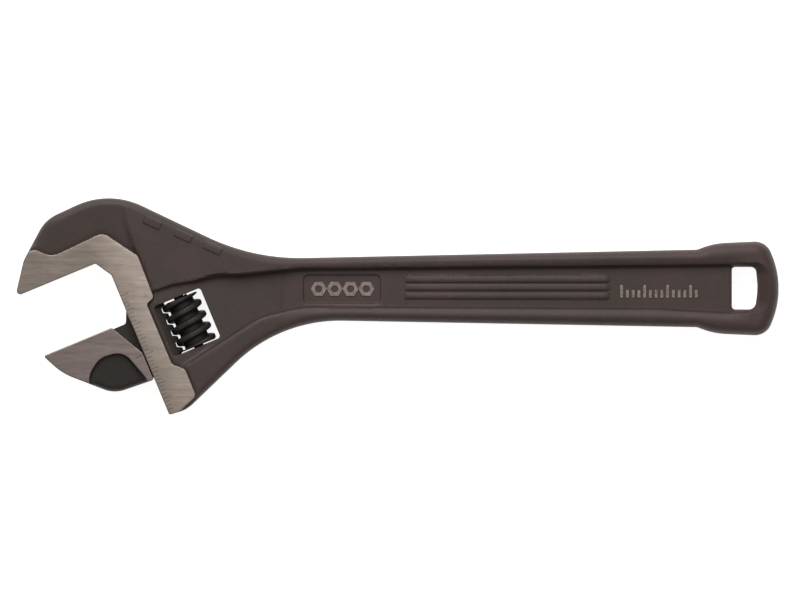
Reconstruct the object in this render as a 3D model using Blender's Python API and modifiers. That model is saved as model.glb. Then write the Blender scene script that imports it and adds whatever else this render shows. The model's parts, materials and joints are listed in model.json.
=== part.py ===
"""Adjustable wrench: a forged body, a sliding jaw on a rack, and the worm, pin and spring that drive it.

The wrench lies flat. +X runs from the jaws to the end of the handle, +Z is up through its thickness, and the
origin is under the middle of its outline, at the lower side of the head. Two frames hold the shapes: the
handle's, which starts at the tip of the fixed jaw on the handle's centre line, and the head's, which is turned
by HEAD_ANGLE about the corner of the throat. In the head's frame x runs from the jaws' mouth into the head,
and y from the moving jaw to the fixed one, so the jaw and its rack slide along y.
"""

import math

import bmesh
import bpy
from mathutils import Matrix, Vector

# Whole wrench
LENGTH = 0.3048
HEAD_ANGLE = math.radians(22.5)
HEAD_THICKNESS = 0.0180
HANDLE_THICKNESS = 0.0120
HANDLE_AXIS_Y = 0.00716
THROAT = (0.0353, 0.01146)

# Fixed jaw and band, in the head's frame
JAW_REACH = 0.03893
THROAT_RUN = 0.0041
THROAT_DROP = 0.0067
BAND_LENGTH = 0.0672
TIP_RADIUS = 0.0015
EDGE_RADIUS = 0.0008

# Corners of the head's back, along and across the fixed jaw, each with its radius
HEAD_TOE = (0.0073, -0.0680, 0.014)
HEAD_CROWN = (0.01216, 0.02517, 0.031)
JAW_SHOULDER = (-0.01593, 0.02396, 0.015)
JAW_NOSE = (-0.03021, 0.01221, 0.010)

# Neck and handle, in the handle's frame
NECK_LOWER = (0.1056, -0.0125, 0.060)
NECK_UPPER = (0.0948, 0.0118, 0.086)
GRIP_END_HALF = 0.01565
TAPER_START = 0.086
TAPER_END = 0.122

# End boss, with its distances from the end of the handle
BOSS_LENGTH = 0.0326
BOSS_RAMP = 0.0064
BOSS_HALF = 0.0179
BOSS_CORNER_HALF = 0.0190
BOSS_CORNER_RADIUS = 0.007
BOSS_RAMP_RADIUS = 0.005
END_RADIUS = 0.035
END_SLOPE = math.radians(21.8)

# Hang hole
HOLE_BACK = 0.0089
HOLE_LENGTH = 0.0098
HOLE_WIDTH = 0.0168
HOLE_OFFSET = 0.0003
HOLE_NEAR_RADIUS = 0.0015
HOLE_FAR_RADIUS = 0.0035

# Panels sunk in the two sides of the handle
WEB_OF_HANDLE = 0.0050
PANEL_START = (0.0745, -0.0010)
PANEL_NECK_UPPER = (0.1040, 0.0095)
PANEL_NECK_LOWER = (0.1075, -0.0070)
PANEL_HEEL = (0.0835, -0.0200)
PANEL_END = 0.0270
PANEL_HALF_END = 0.0080
PANEL_RADIUS = 0.004

# Moving jaw at rest
OPENING = 0.02607
JAW_LENGTH = 0.0376
JAW_TOE = (-0.0332, 0.0094, 0.025)
JAW_HEEL = (-0.0170, 0.0248, 0.012)
JAW_DEPTH = 0.0258
JAW_RELIEF_RUN = 0.0079
JAW_RELIEF_DEPTH = 0.0141
JAW_WEB = 0.0055
WEB_RISE = 0.0039
JAW_HOLLOW_DEPTH = 0.0025
JAW_HOLLOW = ((-0.0284, 0.0190), (-0.0205, 0.0115), (-0.0160, 0.0097), (-0.0095, 0.0103), (-0.0053, 0.0138))
JAW_HOLLOW_HEEL = (-0.0022, 0.0262)

# Rail and rack
RAIL_RADIUS = 0.0060
RAIL_LENGTH = 0.0430
FRONT_WALL = 0.0030

# Worm
WORM_RADIUS = 0.00786
WORM_CORE = 0.00538
WORM_LENGTH = 0.0204
WORM_LEAD = 0.0049
WORM_MIDDLE = 0.0358
CREST_WIDTH = 0.0015
FLANK_ANGLE = math.radians(20)
CREST_AT = 0.0300
END_CHAMFER = 0.0010
RACK_ROOT_GAP = 0.0003
RACK_TIP_GAP = 0.0009
RACK_UPPER_GAP = 0.0002
RACK_LOWER_GAP = 0.0008

# Window
WINDOW_UPPER_GAP = 0.0010
WINDOW_LOWER_GAP = 0.0008
WINDOW_SIDE_GAP = 0.0015
WINDOW_FRONT = 0.0015
WINDOW_RADIUS = 0.0012

# Pin and spring
PIN_RADIUS = 0.0020
PIN_SEAT = 0.0060
PIN_HEAD_RADIUS = 0.0030
PIN_HEAD_LENGTH = 0.0125
PIN_SLOT_WIDTH = 0.0010
PIN_SLOT_DEPTH = 0.0015
SPRING_WIRE = 0.0009
SPRING_TURNS = 4.5
SPRING_PIN_GAP = 0.0006
SPRING_DEPTH = 0.0084

# Clearances
RUNNING_GAP = 0.0002
REST_GAP = 0.0003
SLOT_GAP = 0.0006

# Fineness
FACET_ERROR = 0.00006
ROUND_STEPS = 32
SPRING_STEPS = 14
WELD = 1e-6
PAST = 0.010

# Places that follow from the sizes above, in the head's frame
BORE_RADIUS = RAIL_RADIUS + RUNNING_GAP
RAIL_X = FRONT_WALL + BORE_RADIUS
WORM_X = RAIL_X + RAIL_RADIUS + RACK_TIP_GAP + WORM_CORE
WORM_TOP = -WORM_MIDDLE + WORM_LENGTH / 2
WORM_FOOT = -WORM_MIDDLE - WORM_LENGTH / 2
WINDOW_TOP = WORM_TOP + WINDOW_UPPER_GAP
WINDOW_FOOT = WORM_FOOT - WINDOW_LOWER_GAP
WEB_TOP = -OPENING + WEB_RISE
JAW_BACK = -REST_GAP


def clear_scene():
    """Removes every object of the startup scene."""
    for thing in list(bpy.data.objects):
        bpy.data.objects.remove(thing)


def new_collection(name):
    """A collection in the scene."""
    group = bpy.data.collections.new(name)
    bpy.context.scene.collection.children.link(group)
    return group


def frame_empty(name, location, turn, group):
    """An empty that holds a frame of the wrench, on the plane half way through the thickness."""
    empty = bpy.data.objects.new(name, None)
    empty.location = (location[0], location[1], 0)
    empty.rotation_euler = (0, 0, turn)
    group.objects.link(empty)
    return empty


def steel(name, colour, roughness):
    """A metal Principled material."""
    material = bpy.data.materials.new(name)
    material.use_nodes = True
    shader = material.node_tree.nodes["Principled BSDF"]
    shader.inputs["Base Color"].default_value = (*colour, 1)
    shader.inputs["Roughness"].default_value = roughness
    shader.inputs["Metallic"].default_value = 1
    return material


def rounded(corners):
    """The points of a closed outline whose corners (x, y, radius) are arcs. A radius of 0 is a sharp corner."""
    points = []
    for index, (x, y, radius) in enumerate(corners):
        corner = Vector((x, y))
        before = (Vector(corners[index - 1][:2]) - corner).normalized()
        after = (Vector(corners[(index + 1) % len(corners)][:2]) - corner).normalized()
        turn = math.pi - before.angle(after)
        if radius <= 0 or turn < 1e-3:
            points.append(corner)
            continue
        middle = corner + (before + after).normalized() * radius / math.cos(turn / 2)
        start = corner + before * radius * math.tan(turn / 2) - middle
        sweep = turn if before.cross(after) < 0 else -turn
        steps = math.ceil(turn / (2 * math.acos(1 - FACET_ERROR / radius)))
        for step in range(steps + 1):
            points.append(middle + Matrix.Rotation(sweep * step / steps, 2) @ start)
    return points


def add_mesh(name, bm, parent, group):
    """An object from a bmesh, which is freed."""
    mesh = bpy.data.meshes.new(name)
    bmesh.ops.recalc_face_normals(bm, faces=bm.faces)
    bm.to_mesh(mesh)
    bm.free()
    thing = bpy.data.objects.new(name, mesh)
    thing.parent = parent
    group.objects.link(thing)
    return thing


def plate(name, corners, thickness, parent, group, lift=0.0):
    """A flat outline with thickness, centred on the middle plane or lifted off it."""
    curve = bpy.data.curves.new(name, "CURVE")
    curve.dimensions = "2D"
    curve.fill_mode = "BOTH"
    curve.extrude = thickness / 2
    spline = curve.splines.new("POLY")
    points = rounded(corners)
    spline.points.add(len(points) - 1)
    for place, point in zip(spline.points, points):
        place.co = (point.x, point.y, 0, 1)
    spline.use_cyclic_u = True
    outline = bpy.data.objects.new(name + "_outline", curve)
    group.objects.link(outline)
    graph = bpy.context.evaluated_depsgraph_get()
    flat = bpy.data.meshes.new_from_object(outline.evaluated_get(graph))
    bm = bmesh.new()
    bm.from_mesh(flat)
    bmesh.ops.remove_doubles(bm, verts=bm.verts, dist=WELD)
    bmesh.ops.translate(bm, verts=bm.verts, vec=(0, 0, lift))
    bpy.data.objects.remove(outline)
    return add_mesh(name, bm, parent, group)


def rod(name, radius, start, end, x, parent, group):
    """A round rod along y from start to end, with its centre at x."""
    lying = Matrix.Translation((x, (start + end) / 2, 0)) @ Matrix.Rotation(-math.pi / 2, 4, "X")
    bm = bmesh.new()
    bmesh.ops.create_cone(bm, cap_ends=True, segments=ROUND_STEPS, radius1=radius, radius2=radius,
                          depth=end - start, matrix=lying)
    return add_mesh(name, bm, parent, group)


def turned(name, profile, parent, group):
    """A shape turned about y from a closed profile of (radius, y), which runs down its outer side."""
    mesh = bpy.data.meshes.new(name)
    ends = range(len(profile))
    mesh.from_pydata([(x, y, 0) for x, y in profile], [(i, (i + 1) % len(profile)) for i in ends], [])
    thing = bpy.data.objects.new(name, mesh)
    thing.parent = parent
    group.objects.link(thing)
    screw = thing.modifiers.new("turn", "SCREW")
    screw.axis = "Y"
    screw.steps = screw.render_steps = ROUND_STEPS
    screw.use_merge_vertices = True
    screw.merge_threshold = WELD
    return thing


def combine(thing, other, operation):
    """A live Boolean of thing with other, which stays out of renders."""
    modifier = thing.modifiers.new(other.name, "BOOLEAN")
    modifier.object = other
    modifier.operation = operation
    modifier.solver = "EXACT"
    other.hide_render = True
    other.display_type = "WIRE"


def dress(thing, material):
    """Gives a piece its material and a smooth shade with sharp edges."""
    thing.data.materials.clear()
    thing.data.materials.append(material)
    thing.data.shade_smooth()
    thing.data.set_sharp_from_angle(angle=math.radians(30))


def on_head(x, y, radius):
    """A corner of the head's frame, in the handle's frame."""
    turn = Matrix.Rotation(HEAD_ANGLE, 2)
    place = turn @ Vector((x, y)) + Vector(THROAT)
    return place.x, place.y, radius


def body_corners():
    """The outline of the body, from the tip of the fixed jaw round by the throat, the toe and the handle."""
    boss_start = LENGTH - BOSS_LENGTH
    boss_full = boss_start + BOSS_RAMP
    crown = LENGTH + END_RADIUS * (1 / math.cos(END_SLOPE) - 1)
    corner_x = crown - BOSS_CORNER_HALF * math.tan(END_SLOPE)
    lower = [
        (boss_start, -GRIP_END_HALF, BOSS_RAMP_RADIUS),
        (boss_full, -BOSS_HALF, BOSS_RAMP_RADIUS),
        (corner_x, -BOSS_CORNER_HALF, BOSS_CORNER_RADIUS),
    ]
    upper = [(x, -y, radius) for x, y, radius in reversed(lower)]
    return [
        on_head(-JAW_REACH, 0, TIP_RADIUS),
        on_head(-THROAT_RUN, 0, EDGE_RADIUS),
        on_head(0, -THROAT_DROP, TIP_RADIUS),
        on_head(0, -BAND_LENGTH, EDGE_RADIUS),
        on_head(*HEAD_TOE),
        NECK_LOWER,
        *lower,
        (crown, 0, END_RADIUS),
        *upper,
        NECK_UPPER,
        on_head(*HEAD_CROWN),
        on_head(*JAW_SHOULDER),
        on_head(*JAW_NOSE),
    ]


def side_cutter(name, side, parent, group):
    """What is cut from one side to bring the head's thickness down to the handle's. side is 1 or -1."""
    head, grip = HEAD_THICKNESS / 2, HANDLE_THICKNESS / 2
    slope = (head - grip) / (TAPER_END - TAPER_START)
    top = head + slope * PAST
    corners = [
        (TAPER_START - PAST, side * top, 0), (TAPER_END, side * grip, 0),
        (LENGTH + PAST, side * grip, 0), (LENGTH + PAST, side * top, 0),
    ]
    cutter = plate(name, corners, LENGTH, parent, group)
    cutter.rotation_euler = (math.pi / 2, 0, 0)
    return cutter


def panel_corners():
    """The outline of the panel sunk in each side of the handle."""
    end = LENGTH - PANEL_END
    return [
        (*PANEL_START, PANEL_RADIUS),
        (*PANEL_HEEL, PANEL_RADIUS),
        (*PANEL_NECK_LOWER, PANEL_RADIUS),
        (end, -PANEL_HALF_END, PANEL_RADIUS),
        (end, PANEL_HALF_END, PANEL_RADIUS),
        (*PANEL_NECK_UPPER, PANEL_RADIUS),
    ]


def hole_corners():
    """The outline of the hang hole, whose far wall a peg bears on."""
    far = LENGTH - HOLE_BACK
    near = far - HOLE_LENGTH
    low, high = HOLE_OFFSET - HOLE_WIDTH / 2, HOLE_OFFSET + HOLE_WIDTH / 2
    return [
        (near, low, HOLE_NEAR_RADIUS), (far, low, HOLE_FAR_RADIUS),
        (far, high, HOLE_FAR_RADIUS), (near, high, HOLE_NEAR_RADIUS),
    ]


def window_corners():
    """The outline of the window that the worm turns in."""
    near = RAIL_X + WINDOW_FRONT
    far = WORM_X + WORM_RADIUS + WINDOW_SIDE_GAP
    return [(x, y, WINDOW_RADIUS) for x, y in
            ((near, WINDOW_FOOT), (far, WINDOW_FOOT), (far, WINDOW_TOP), (near, WINDOW_TOP))]


def slot_corners():
    """The outline of the slot that the jaw's web slides in, from past the toe to the web's place when closed."""
    mouth = -THROAT_RUN - PAST
    toe = -BAND_LENGTH - PAST
    top = WEB_RISE + SLOT_GAP
    ledge = SLOT_GAP - EDGE_RADIUS
    return [
        (mouth, toe, 0), (RAIL_X, toe, 0), (RAIL_X, top, 0),
        (-SLOT_GAP, top, 0), (-THROAT_RUN / 2 - SLOT_GAP, ledge, 0), (mouth, ledge, 0),
    ]


def pin_top():
    """The inner end of the pin, above the window."""
    return WINDOW_TOP + PIN_SEAT


def pin_foot():
    """The slotted end of the pin, in the wall below the window."""
    return WINDOW_FOOT - REST_GAP * 2 - PIN_HEAD_LENGTH


def build_body(handle, head, parts, cutters, material):
    """The forging: fixed jaw, head, neck and handle."""
    body = plate("wrench_body", body_corners(), HEAD_THICKNESS, handle, parts)
    for side, word in ((1, "upper"), (-1, "lower")):
        combine(body, side_cutter(f"{word}_taper", side, handle, cutters), "DIFFERENCE")
        depth = HEAD_THICKNESS / 2
        lift = side * (WEB_OF_HANDLE + depth) / 2
        panel = plate(f"{word}_panel", panel_corners(), depth, handle, cutters, lift)
        combine(body, panel, "DIFFERENCE")
    combine(body, plate("hang_hole", hole_corners(), HEAD_THICKNESS * 2, handle, cutters), "DIFFERENCE")
    combine(body, plate("window", window_corners(), HEAD_THICKNESS * 2, head, cutters), "DIFFERENCE")
    slot = plate("web_slot", slot_corners(), JAW_WEB + 2 * RUNNING_GAP, head, cutters)
    combine(body, slot, "DIFFERENCE")
    toe = -BAND_LENGTH - PAST
    bore = rod("rail_bore", BORE_RADIUS, toe, WEB_RISE + SLOT_GAP, RAIL_X, head, cutters)
    combine(body, bore, "DIFFERENCE")
    seat_end = pin_top() + REST_GAP
    seat = rod("pin_seat", PIN_RADIUS + REST_GAP, WINDOW_FOOT - PAST, seat_end, WORM_X, head, cutters)
    combine(body, seat, "DIFFERENCE")
    mouth = rod("pin_mouth", PIN_HEAD_RADIUS + REST_GAP, toe, WINDOW_FOOT - REST_GAP, WORM_X, head, cutters)
    combine(body, mouth, "DIFFERENCE")
    dress(body, material)
    return body


def jaw_corners():
    """The outline of the moving jaw's thick part. y is 0 on its face and runs down from it."""
    return [
        (-JAW_LENGTH, 0, EDGE_RADIUS), (JAW_TOE[0], -JAW_TOE[1], JAW_TOE[2]),
        (JAW_HEEL[0], -JAW_HEEL[1], JAW_HEEL[2]), (JAW_BACK, -JAW_DEPTH, EDGE_RADIUS),
        (JAW_BACK, -JAW_RELIEF_DEPTH, EDGE_RADIUS), (-JAW_RELIEF_RUN, 0, EDGE_RADIUS),
    ]


def web_corners():
    """The outline of the thin web between the jaw and its rail."""
    inside = -JAW_RELIEF_RUN - RAIL_RADIUS
    return [
        (inside, -JAW_RELIEF_DEPTH, 0), (JAW_BACK, -JAW_DEPTH + EDGE_RADIUS, 0),
        (RAIL_X, -JAW_DEPTH + EDGE_RADIUS, 0), (RAIL_X, WEB_RISE, 0), (0, WEB_RISE, 0),
        (-THROAT_RUN / 2, -EDGE_RADIUS, TIP_RADIUS), (inside, -EDGE_RADIUS, 0),
    ]


def hollow_corners():
    """The outline of the hollow in each side of the moving jaw, run out past its lower edge."""
    arch = [(x, -y, EDGE_RADIUS) for x, y in JAW_HOLLOW]
    heel_x, heel_y = JAW_HOLLOW_HEEL
    return [*arch, (heel_x, -heel_y, 0), (heel_x, -heel_y - PAST, 0), (JAW_HOLLOW[0][0], -heel_y - PAST, 0)]


def thread_half_width(radius):
    """Half the worm thread's width at a radius."""
    return CREST_WIDTH / 2 + (WORM_RADIUS - radius) * math.tan(FLANK_ANGLE)


def rack_cutter(head, cutters):
    """The grooves of the rack, one for each turn of thread that can meet it, leaning as the thread does."""
    lean = math.atan(WORM_LEAD / (2 * math.pi * (WORM_RADIUS + WORM_CORE) / 2))
    root_x = WORM_X - WORM_RADIUS - RACK_ROOT_GAP
    outer_x = RAIL_X + RAIL_RADIUS + RACK_ROOT_GAP
    root = thread_half_width(WORM_RADIUS)
    mouth = thread_half_width(WORM_X - outer_x)
    first = -CREST_AT + WORM_LEAD / 2
    first += WORM_LEAD * math.floor((WEB_TOP - first) / WORM_LEAD + 0.5)
    count = math.ceil(RAIL_LENGTH / WORM_LEAD) + 1
    bm = bmesh.new()
    for index in range(count):
        lower = [(root_x, -root - RACK_LOWER_GAP), (outer_x, -mouth - RACK_LOWER_GAP)]
        upper = [(outer_x, mouth + RACK_UPPER_GAP), (root_x, root + RACK_UPPER_GAP)]
        ring = [bm.verts.new((x, y, -RAIL_RADIUS * 2)) for x, y in lower + upper]
        grown = bmesh.ops.extrude_face_region(bm, geom=[bm.faces.new(ring)])["geom"]
        far = [part for part in grown if isinstance(part, bmesh.types.BMVert)]
        bmesh.ops.translate(bm, verts=far, vec=(0, 0, RAIL_RADIUS * 4))
        groove = ring + far
        bmesh.ops.rotate(bm, verts=groove, cent=(0, 0, 0), matrix=Matrix.Rotation(-lean, 3, "X"))
        bmesh.ops.translate(bm, verts=groove, vec=(0, first - index * WORM_LEAD, 0))
    return add_mesh("rack_grooves", bm, head, cutters)


def build_jaw(slide, head, parts, cutters, material):
    """The moving jaw, its web and its rail with the rack."""
    jaw = plate("moving_jaw", jaw_corners(), HEAD_THICKNESS, slide, parts)
    for side, word in ((1, "upper"), (-1, "lower")):
        lift = side * (HEAD_THICKNESS - JAW_HOLLOW_DEPTH + PAST) / 2
        hollow = plate(f"{word}_hollow", hollow_corners(), JAW_HOLLOW_DEPTH + PAST, slide, cutters, lift)
        combine(jaw, hollow, "DIFFERENCE")
    combine(jaw, plate("jaw_web", web_corners(), JAW_WEB, slide, cutters), "UNION")
    rail = rod("jaw_rail", RAIL_RADIUS, WEB_RISE - RAIL_LENGTH, WEB_RISE, RAIL_X, slide, cutters)
    combine(jaw, rail, "UNION")
    combine(jaw, rack_cutter(head, cutters), "DIFFERENCE")
    dress(jaw, material)
    return jaw


def thread_ridge(worm, cutters):
    """The worm's thread as one long ridge, past both ends of the worm and past its radius, to be cut back."""
    inner, outer = WORM_CORE - END_CHAMFER, WORM_RADIUS + END_CHAMFER / 2
    root, crest = thread_half_width(inner), thread_half_width(outer)
    turns = math.ceil(WORM_LENGTH / WORM_LEAD) + 2
    crest_from_middle = -CREST_AT + WORM_MIDDLE
    start = crest_from_middle - WORM_LEAD * math.ceil((WORM_LENGTH / 2 + crest_from_middle) / WORM_LEAD + 0.5)
    bm = bmesh.new()
    corners = [(inner, -root), (outer, -crest), (outer, crest), (inner, root)]
    ring = [bm.verts.new((x, start + y, 0)) for x, y in corners]
    face = bm.faces.new(ring)
    bmesh.ops.spin(
        bm, geom=[face, *face.edges, *ring], cent=(0, 0, 0), axis=(0, 1, 0), angle=2 * math.pi * turns,
        dvec=(0, WORM_LEAD / ROUND_STEPS, 0), steps=ROUND_STEPS * turns,
    )
    return add_mesh("thread_ridge", bm, worm, cutters)


def build_worm(worm_axis, parts, cutters, material):
    """The worm: a core bored for the pin and the spring and one thread, both cut to its length."""
    half = WORM_LENGTH / 2
    uncut = half + END_CHAMFER
    bore = PIN_RADIUS + RUNNING_GAP
    counterbore = PIN_RADIUS + SPRING_PIN_GAP + SPRING_WIRE + REST_GAP
    floor = half - SPRING_DEPTH
    core = [(WORM_CORE, uncut), (WORM_CORE, -uncut), (bore, -uncut), (bore, floor), (counterbore, floor),
            (counterbore, uncut)]
    worm = turned("adjusting_worm", core, worm_axis, parts)
    edge = WORM_RADIUS - END_CHAMFER
    shoulder = half - END_CHAMFER
    envelope = [(edge, half), (WORM_RADIUS, shoulder), (WORM_RADIUS, -shoulder), (edge, -half),
                (bore / 2, -half), (bore / 2, half)]
    combine(worm, thread_ridge(worm_axis, cutters), "UNION")
    combine(worm, turned("worm_blank", envelope, worm_axis, cutters), "INTERSECT")
    dress(worm, material)
    return worm


def build_pin(head, parts, cutters, material):
    """The worm's pin: a plain shank and a slotted head that screws into the wall below the window."""
    foot = pin_foot()
    shoulder = foot + PIN_HEAD_LENGTH
    pin = rod("worm_pin", PIN_RADIUS, shoulder - PIN_RADIUS, pin_top(), WORM_X, head, parts)
    combine(pin, rod("pin_head", PIN_HEAD_RADIUS, foot, shoulder, WORM_X, head, cutters), "UNION")
    low, high = WORM_X - PIN_HEAD_RADIUS * 2, WORM_X + PIN_HEAD_RADIUS * 2
    depth = foot + PIN_SLOT_DEPTH
    slot = [(low, foot - PAST, 0), (high, foot - PAST, 0), (high, depth, 0), (low, depth, 0)]
    combine(pin, plate("pin_slot", slot, PIN_SLOT_WIDTH, head, cutters), "DIFFERENCE")
    dress(pin, material)
    return pin


def build_spring(head, parts, material):
    """The spring round the pin, between the window's upper wall and the floor of the worm's counterbore."""
    wire = SPRING_WIRE / 2
    radius = PIN_RADIUS + SPRING_PIN_GAP + wire
    top = WINDOW_TOP - REST_GAP - wire
    foot = WORM_TOP - SPRING_DEPTH + REST_GAP + wire
    curve = bpy.data.curves.new("worm_spring", "CURVE")
    curve.dimensions = "3D"
    curve.bevel_depth = wire
    curve.bevel_resolution = 2
    curve.use_fill_caps = True
    spline = curve.splines.new("POLY")
    count = round(SPRING_TURNS * SPRING_STEPS)
    spline.points.add(count)
    for index, place in enumerate(spline.points):
        turn = 2 * math.pi * SPRING_TURNS * index / count
        y = top + (foot - top) * index / count
        place.co = (WORM_X + radius * math.cos(turn), y, radius * math.sin(turn), 1)
    spring = bpy.data.objects.new("worm_spring", curve)
    spring.parent = head
    parts.objects.link(spring)
    curve.materials.append(material)
    return spring


def main():
    clear_scene()
    parts = new_collection("adjustable_wrench")
    cutters = new_collection("cutters")
    lift = HEAD_THICKNESS / 2
    handle = frame_empty("handle_frame", (-LENGTH / 2, HANDLE_AXIS_Y), 0, parts)
    handle.location.z = lift
    head = frame_empty("head_frame", THROAT, HEAD_ANGLE, parts)
    head.parent = handle
    slide = frame_empty("jaw_frame", (0, -OPENING), 0, parts)
    slide.parent = head
    worm_axis = frame_empty("worm_frame", (WORM_X, -WORM_MIDDLE), 0, parts)
    worm_axis.parent = head
    forged = steel("forged_black", (0.075, 0.062, 0.058), 0.5)
    ground = steel("ground_steel", (0.42, 0.39, 0.36), 0.35)
    blacked = steel("blacked_steel", (0.03, 0.027, 0.025), 0.4)
    spring_steel = steel("spring_steel", (0.2, 0.19, 0.18), 0.3)
    build_body(handle, head, parts, cutters, forged)
    build_jaw(slide, head, parts, cutters, ground)
    build_worm(worm_axis, parts, cutters, blacked)
    build_pin(head, parts, cutters, blacked)
    build_spring(head, parts, spring_steel)


main()
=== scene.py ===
"""Looks of the adjustable wrench: a forged body, a sliding jaw, and its worm, pin and spring.

Shapes are worked out in millimetres. The handle's frame starts at the tip of the fixed jaw, with x along
the handle. The head's frame starts at the corner of the throat and is turned with the jaws: x runs from
the mouth into the head, and y from the moving jaw to the fixed one. Both frames have z = 0 in the middle
of the thickness, and Layout turns them into the row's metres.
"""

from __future__ import annotations

import json
import logging
import math
from dataclasses import dataclass, field
from enum import Enum, IntEnum
from typing import Callable, Sequence

import bmesh
import bpy
import numpy as np
from mathutils import Matrix, Vector, geometry, kdtree


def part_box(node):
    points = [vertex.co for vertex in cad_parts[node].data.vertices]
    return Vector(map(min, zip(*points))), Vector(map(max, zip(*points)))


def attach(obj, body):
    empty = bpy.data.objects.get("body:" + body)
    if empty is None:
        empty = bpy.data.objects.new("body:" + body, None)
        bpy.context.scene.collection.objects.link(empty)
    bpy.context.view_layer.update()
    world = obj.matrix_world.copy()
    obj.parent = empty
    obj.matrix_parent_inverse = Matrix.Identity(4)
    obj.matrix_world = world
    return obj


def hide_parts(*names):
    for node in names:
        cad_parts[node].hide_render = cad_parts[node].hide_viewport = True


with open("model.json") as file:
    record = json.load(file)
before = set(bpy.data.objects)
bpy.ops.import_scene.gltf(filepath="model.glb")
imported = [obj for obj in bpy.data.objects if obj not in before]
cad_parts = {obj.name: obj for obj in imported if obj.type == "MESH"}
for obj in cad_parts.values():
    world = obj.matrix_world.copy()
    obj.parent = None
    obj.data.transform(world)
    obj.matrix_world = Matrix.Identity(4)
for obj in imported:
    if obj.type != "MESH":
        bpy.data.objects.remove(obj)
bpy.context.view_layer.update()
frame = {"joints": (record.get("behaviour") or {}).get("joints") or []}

log = logging.getLogger("wrench")

Corner = tuple[float, float, float]
Tint = tuple[float, float, float]
Thing = bpy.types.Object
Material = bpy.types.Material
Socket = bpy.types.NodeSocket

MM = 0.001
FULL_TURN = 2 * math.pi

# The head's turn from the handle, and the throat's corner in the handle's frame.
HEAD_ANGLE = math.radians(22.5)
THROAT = (35.3, 11.46)

# In the head's frame: the worm's axis and middle, the rail's axis, and how far the jaw stands open.
WORM_X = 21.48
WORM_MIDDLE = 35.8
RAIL_X = 9.2
OPENING = 26.07

# Half the head's thickness, and how deep and how wide the very edge of a ground face is eased.
HALF_THICKNESS = 8.97
EASED_DEPTH = 0.05
EASED_WIDTH = 0.28

# The largest gap between an arc and its chords, and how many spots are measured at once.
ARC_ERROR = 0.012
CHUNK = 3000

# The height of a row of even triangles whose sides are 1.
ROW_HEIGHT = 0.866

# The steps of a plain rod, and the range that a noise mostly keeps to.
ROD_STEPS = 96
NOISE_LOW, NOISE_HIGH = 0.3, 0.7


class Slot(Enum):
    """The record's material slots."""

    FORGING = "forged_steel"
    JAW = "jaw_steel"
    BLACKED = "blacked_steel"
    SPRING = "spring_steel"


class Body(Enum):
    """The bodies that pieces ride on."""

    FRAME = "frame"
    JAW = "jaw"
    WORM = "worm"


class BodyFinish(IntEnum):
    """The numbers of the forging's finishes."""

    COATED = 0
    GROUND = 1
    BARE = 2


class JawFinish(IntEnum):
    """The numbers of the moving jaw's finishes."""

    GROUND = 0
    COATED = 1


def on_head(x: float, y: float, radius: float = 0.0) -> Corner:
    """A corner of the head's frame, in the handle's frame."""
    place = Matrix.Rotation(HEAD_ANGLE, 2) @ Vector((x, y)) + Vector(THROAT)
    return place.x, place.y, radius


def box_corners(left: float, foot: float, right: float, top: float, radius: float = 0.0) -> list[Corner]:
    """The corners of an upright rectangle."""
    return [(left, foot, radius), (right, foot, radius), (right, top, radius), (left, top, radius)]


def ease(value: np.ndarray, low: float, high: float) -> np.ndarray:
    """A smooth rise from 0 at low to 1 at high."""
    share = np.clip((value - low) / (high - low), 0.0, 1.0)
    return share * share * (3.0 - 2.0 * share)


def mixed(first: np.ndarray, second: np.ndarray, share: np.ndarray) -> np.ndarray:
    """The blend of two values, all second where share is 1."""
    return first + (second - first) * share


def rounding(depth: np.ndarray, radius: np.ndarray) -> np.ndarray:
    """How far a rounded edge of that radius lies under the flat, at a distance in from the edge."""
    left = radius - np.clip(depth, 0.0, radius)
    return radius - np.sqrt(np.maximum(radius * radius - left * left, 0.0))


def ground_flat(depth: np.ndarray) -> np.ndarray:
    """The level of a ground face at a distance in from its edge."""
    return HALF_THICKNESS - EASED_DEPTH * np.clip(1.0 - depth / EASED_WIDTH, 0.0, 1.0) ** 2


def stepped(level: np.ndarray, behind: np.ndarray, width: float) -> np.ndarray:
    """A forged level that climbs to a ground face's edge within a width behind that edge."""
    lip = HALF_THICKNESS - EASED_DEPTH
    return level + (lip - level) * np.clip(1.0 - behind / width, 0.0, 1.0) ** 3


def rounded(corners: Sequence[Corner]) -> np.ndarray:
    """The points of a closed outline whose corners are arcs.

    Args:
        corners: x, y and radius of each corner, in order. A radius of 0 is a sharp corner.

    Returns:
        The points, one row each.
    """
    points: list[Vector] = []
    for index, (x, y, radius) in enumerate(corners):
        corner = Vector((x, y))
        before = (Vector(corners[index - 1][:2]) - corner).normalized()
        after = (Vector(corners[(index + 1) % len(corners)][:2]) - corner).normalized()
        turn = math.pi - before.angle(after)
        if radius <= 0 or turn < 1e-3:
            points.append(corner)
            continue
        middle = corner + (before + after).normalized() * radius / math.cos(turn / 2)
        start = corner + before * radius * math.tan(turn / 2) - middle
        sweep = turn if before.cross(after) < 0 else -turn
        steps = math.ceil(turn / (2 * math.acos(1 - ARC_ERROR / max(radius, 0.05))))
        for step in range(steps + 1):
            points.append(middle + Matrix.Rotation(sweep * step / steps, 2) @ start)
    return np.array([tuple(point) for point in points])


def verts_of(made: dict) -> list[bmesh.types.BMVert]:
    """The new vertices among what an extrusion made."""
    return [part for part in made["geom"] if isinstance(part, bmesh.types.BMVert)]


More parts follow.
